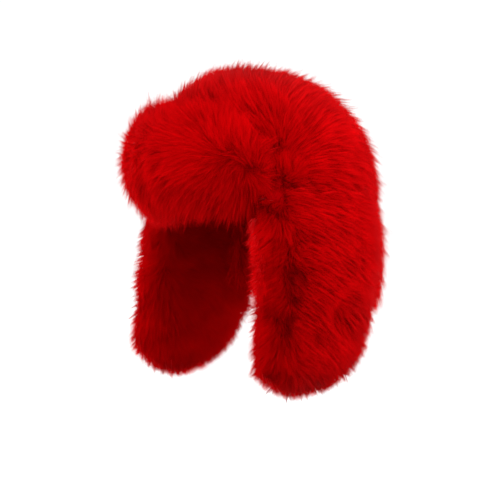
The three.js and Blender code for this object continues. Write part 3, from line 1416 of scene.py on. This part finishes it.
            # A wavy start lets this pile run into the crown's
            return (out > -0.1) & (points[:, 2] < 10 + 9 * waves(points, 12, 51))
        return (out > 0.1) & (points[:, 2] < -10)

    def build(self, finishes: Finishes) -> None:
        """Builds and dresses the flap.

        Args:
            finishes: The hat's materials.
        """
        node = f"ear_flap_{self.side.name.lower()}"
        shell = self.body()
        if self.side is Side.RIGHT:
            shell = shell.mirrored()
        dress(shell.to_object(f"{node}_backing"), finishes.backing, node)
        faces = ((Face.OUTER, self.outer_pile, 300), (Face.INNER, self.inner_pile, 400))
        for face, pile, seed in faces:
            name = f"{node}_{face.name.lower()}_pile"
            mask = partial(self.mask, face)
            hairs = grow(name, shell, pile, self.comb, mask, seed + self.side.value)
            dress(hairs, finishes.flap, node)


@dataclass
class NeckFlap:
    """The neck flap behind, between the ear flaps.

    Attributes:
        sections: Rows of degrees from the front, foot and thickness.
        high: Height of its padding's upper end, inside the crown.
        pile: How its hairs stand.
    """

    sections: tuple[tuple[float, float, float], ...] = (
        (110, -98, 37),
        (122, -104, 38),
        (136, -108, 39),
        (150, -110, 39),
        (165, -111, 39),
        (180, -111, 39),
    )
    high: float = 8.0
    pile: Pile = field(default_factory=lambda: Pile(1.35))

    def body(self) -> Shell:
        """Makes the padded band under the pile.

        Returns:
            The closed body.
        """
        table = np.array(self.sections, dtype=float)
        turns = np.linspace(table[0, 0], 360 - table[0, 0], 65)
        along = 180 - np.abs(180 - turns)
        foot, thick = (np.interp(along, table[:, 0], table[:, i])[:, None] for i in (1, 2))
        foot = foot + PILE_DEPTH
        angle = np.linspace(0, 2 * math.pi, 44, endpoint=False)[None]
        middle = 2 + thick / 2
        out = middle + (thick / 2 - PILE_DEPTH) * signed_power(np.cos(angle), SQUARED)
        rise = signed_power(np.sin(angle), 0.55)
        z = (self.high + foot) / 2 + (self.high - foot) / 2 * rise
        # The outer face draws in under the crown, and stands out behind each ear flap
        out = out - 5 * smooth_step(-35, 0, z) * (out > middle)
        out = out + 4 * (1 - smooth_step(112, 132, along))[:, None] * (out > middle)
        rings = on_plan(HEAD_WIDTH + out, HEAD_DEPTH + out, np.radians(turns)[:, None], z)
        return loft(rings, rings[0].mean(axis=0), rings[-1].mean(axis=0))

    def comb(self, points: Array, _normals: Array) -> Array:
        """Combs the pile down, and towards the rear beside the ear flaps.

        Args:
            points: Places, one a row.
            _normals: Unit normals there, which don't matter on the neck flap.

        Returns:
            The way that the pile is combed at each place.
        """
        side = 1 - smooth_step(40, 110, points[:, 1])
        flow = np.zeros_like(points)
        flow[:, 0] = points[:, 0] / 250
        flow[:, 1] = 1.2 * side
        flow[:, 2] = 0.35 * side - 0.9
        return flow

    def mask(self, points: Array, normals: Array) -> Array:
        """Says which places have hairs: all but the seam under the crown.

        Args:
            points: Places, one a row.
            normals: Unit normals there.

        Returns:
            True at each place that has hairs.
        """
        outer_face = np.sum(points * [1, 1, 0] * normals, axis=1) > 0
        return (points[:, 2] < np.where(outer_face, 2, -10)) & (normals[:, 2] < 0.8)

    def build(self, finishes: Finishes) -> None:
        """Builds and dresses the neck flap.

        Args:
            finishes: The hat's materials.
        """
        shell = self.body()
        dress(shell.to_object("neck_flap_backing"), finishes.backing, "neck_flap")
        hairs = grow("neck_flap_pile", shell, self.pile, self.comb, self.mask, 500)
        dress(hairs, finishes.flap, "neck_flap")


def outward(turn: float, height: float) -> Vector:
    """Works out the way from the hat to a place round it.

    Args:
        turn: Degrees round from the hat's front, towards the wearer's left.
        height: Degrees over the horizon.

    Returns:
        The unit vector.
    """
    a, e = math.radians(turn), math.radians(height)
    return Vector((math.sin(a) * math.cos(e), -math.cos(a) * math.cos(e), math.sin(e)))


@dataclass
class Studio:
    """The pale floor, the soft lights and the camera.

    Attributes:
        azimuth: Degrees round from the front of the camera's place.
        elevation: Its degrees over the horizon.
        distance: Its distance, in metres.
        aim: The place it looks at, in metres: right of the hat's axis, and height.
        lens: Focal length on a 36 mm sensor.
        floor_z: Height of the floor, in metres.
        floor_half: Half the floor's side, in metres.
        ambient: Brightness of the white surround as it lights the hat.
        backdrop: Its brightness as it stands behind the hat.
        lamp_distance: How far the lamps hang from the hat, in metres.
        lamps: Each lamp's name, degrees round from the front, degrees over the horizon, side in
            metres and power in watts.
    """

    azimuth: float = 55.0
    elevation: float = 2.6
    distance: float = 1.6
    aim: tuple[float, float] = (-0.0077, -0.053)
    lens: float = 104.7
    floor_z: float = -0.7
    floor_half: float = 12.0
    ambient: float = 0.3
    backdrop: float = 1.05
    lamp_distance: float = 2.0
    lamps: tuple[tuple[str, float, float, float, float], ...] = (
        ("top_light", 60.0, 65.0, 3.0, 67.0),
        ("right_light", 130.0, 10.0, 3.2, 90.0),
        ("left_light", -15.0, 0.0, 2.4, 67.0),
    )

    def floor(self) -> None:
        """Lays the paper floor, which neither shades the hat nor colours its light."""
        half = self.floor_half
        mesh = bpy.data.meshes.new("floor")
        corners = [(-half, -half, 0), (half, -half, 0), (half, half, 0), (-half, half, 0)]
        mesh.from_pydata(corners, [], [(0, 1, 2, 3)])
        made = bpy.data.objects.new("floor", mesh)
        made.location.z = self.floor_z
        mesh.materials.append(StudioPaper().build())
        made.visible_diffuse = False
        made.visible_shadow = False
        bpy.context.scene.collection.objects.link(made)

    def lamp(
        self,
        name: str,
        turn: float,
        height: float,
        size: float,
        power: float,
    ) -> None:
        """Hangs one square soft light that points at the hat.

        Args:
            name: The light's name.
            turn: Degrees round from the hat's front, towards the wearer's left.
            height: Degrees over the horizon.
            size: Its side, in metres.
            power: Its power, in watts.
        """
        light = bpy.data.lights.new(name, "AREA")
        light.size = size
        light.energy = power
        made = bpy.data.objects.new(name, light)
        out = outward(turn, height)
        made.location = out * self.lamp_distance
        made.rotation_mode = "QUATERNION"
        made.rotation_quaternion = (-out).to_track_quat("-Z", "Y")
        made.visible_camera = False
        bpy.context.scene.collection.objects.link(made)

    def camera(self) -> None:
        """Sets the camera at the photograph's angle."""
        back = outward(self.azimuth, self.elevation)
        right = outward(self.azimuth + 90, 0)
        data = bpy.data.cameras.new("camera")
        data.lens = self.lens
        data.sensor_width = 36.0
        made = bpy.data.objects.new("camera", data)
        aim = right * self.aim[0] + Vector((0, 0, self.aim[1]))
        made.matrix_world = Matrix.Translation(aim + back * self.distance) @ (
            (-back).to_track_quat("-Z", "Y").to_matrix().to_4x4()
        )
        bpy.context.scene.collection.objects.link(made)
        bpy.context.scene.camera = made

    def build(self) -> None:
        """Sets up the whole studio."""
        scene = bpy.context.scene
        scene.view_settings.view_transform = "Standard"
        world = bpy.data.worlds.new("studio")
        world.use_nodes = True
        tree = world.node_tree
        ray = add_node(tree, "ShaderNodeLightPath")
        strength = add_node(
            tree,
            "ShaderNodeMapRange",
            {"To Min": self.ambient, "To Max": self.backdrop},
            {"Value": ray.outputs["Is Camera Ray"]},
        )
        tree.links.new(strength.outputs["Result"], tree.nodes["Background"].inputs["Strength"])
        tree.nodes["Background"].inputs["Color"].default_value = (1, 1, 1, 1)
        scene.world = world
        self.floor()
        for lamp in self.lamps:
            self.lamp(*lamp)
        self.camera()


def main() -> None:
    """Builds the studio and the hat, piece by piece."""
    logging.basicConfig(level=logging.INFO, format="%(message)s")
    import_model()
    Studio().build()
    finishes = Finishes.make()
    Crown().build(finishes)
    Visor().build(finishes)
    for side in Side:
        EarFlap(side).build(finishes)
    NeckFlap().build(finishes)
    LOG.info("hat finished")


if __name__ == "__main__":
    main()
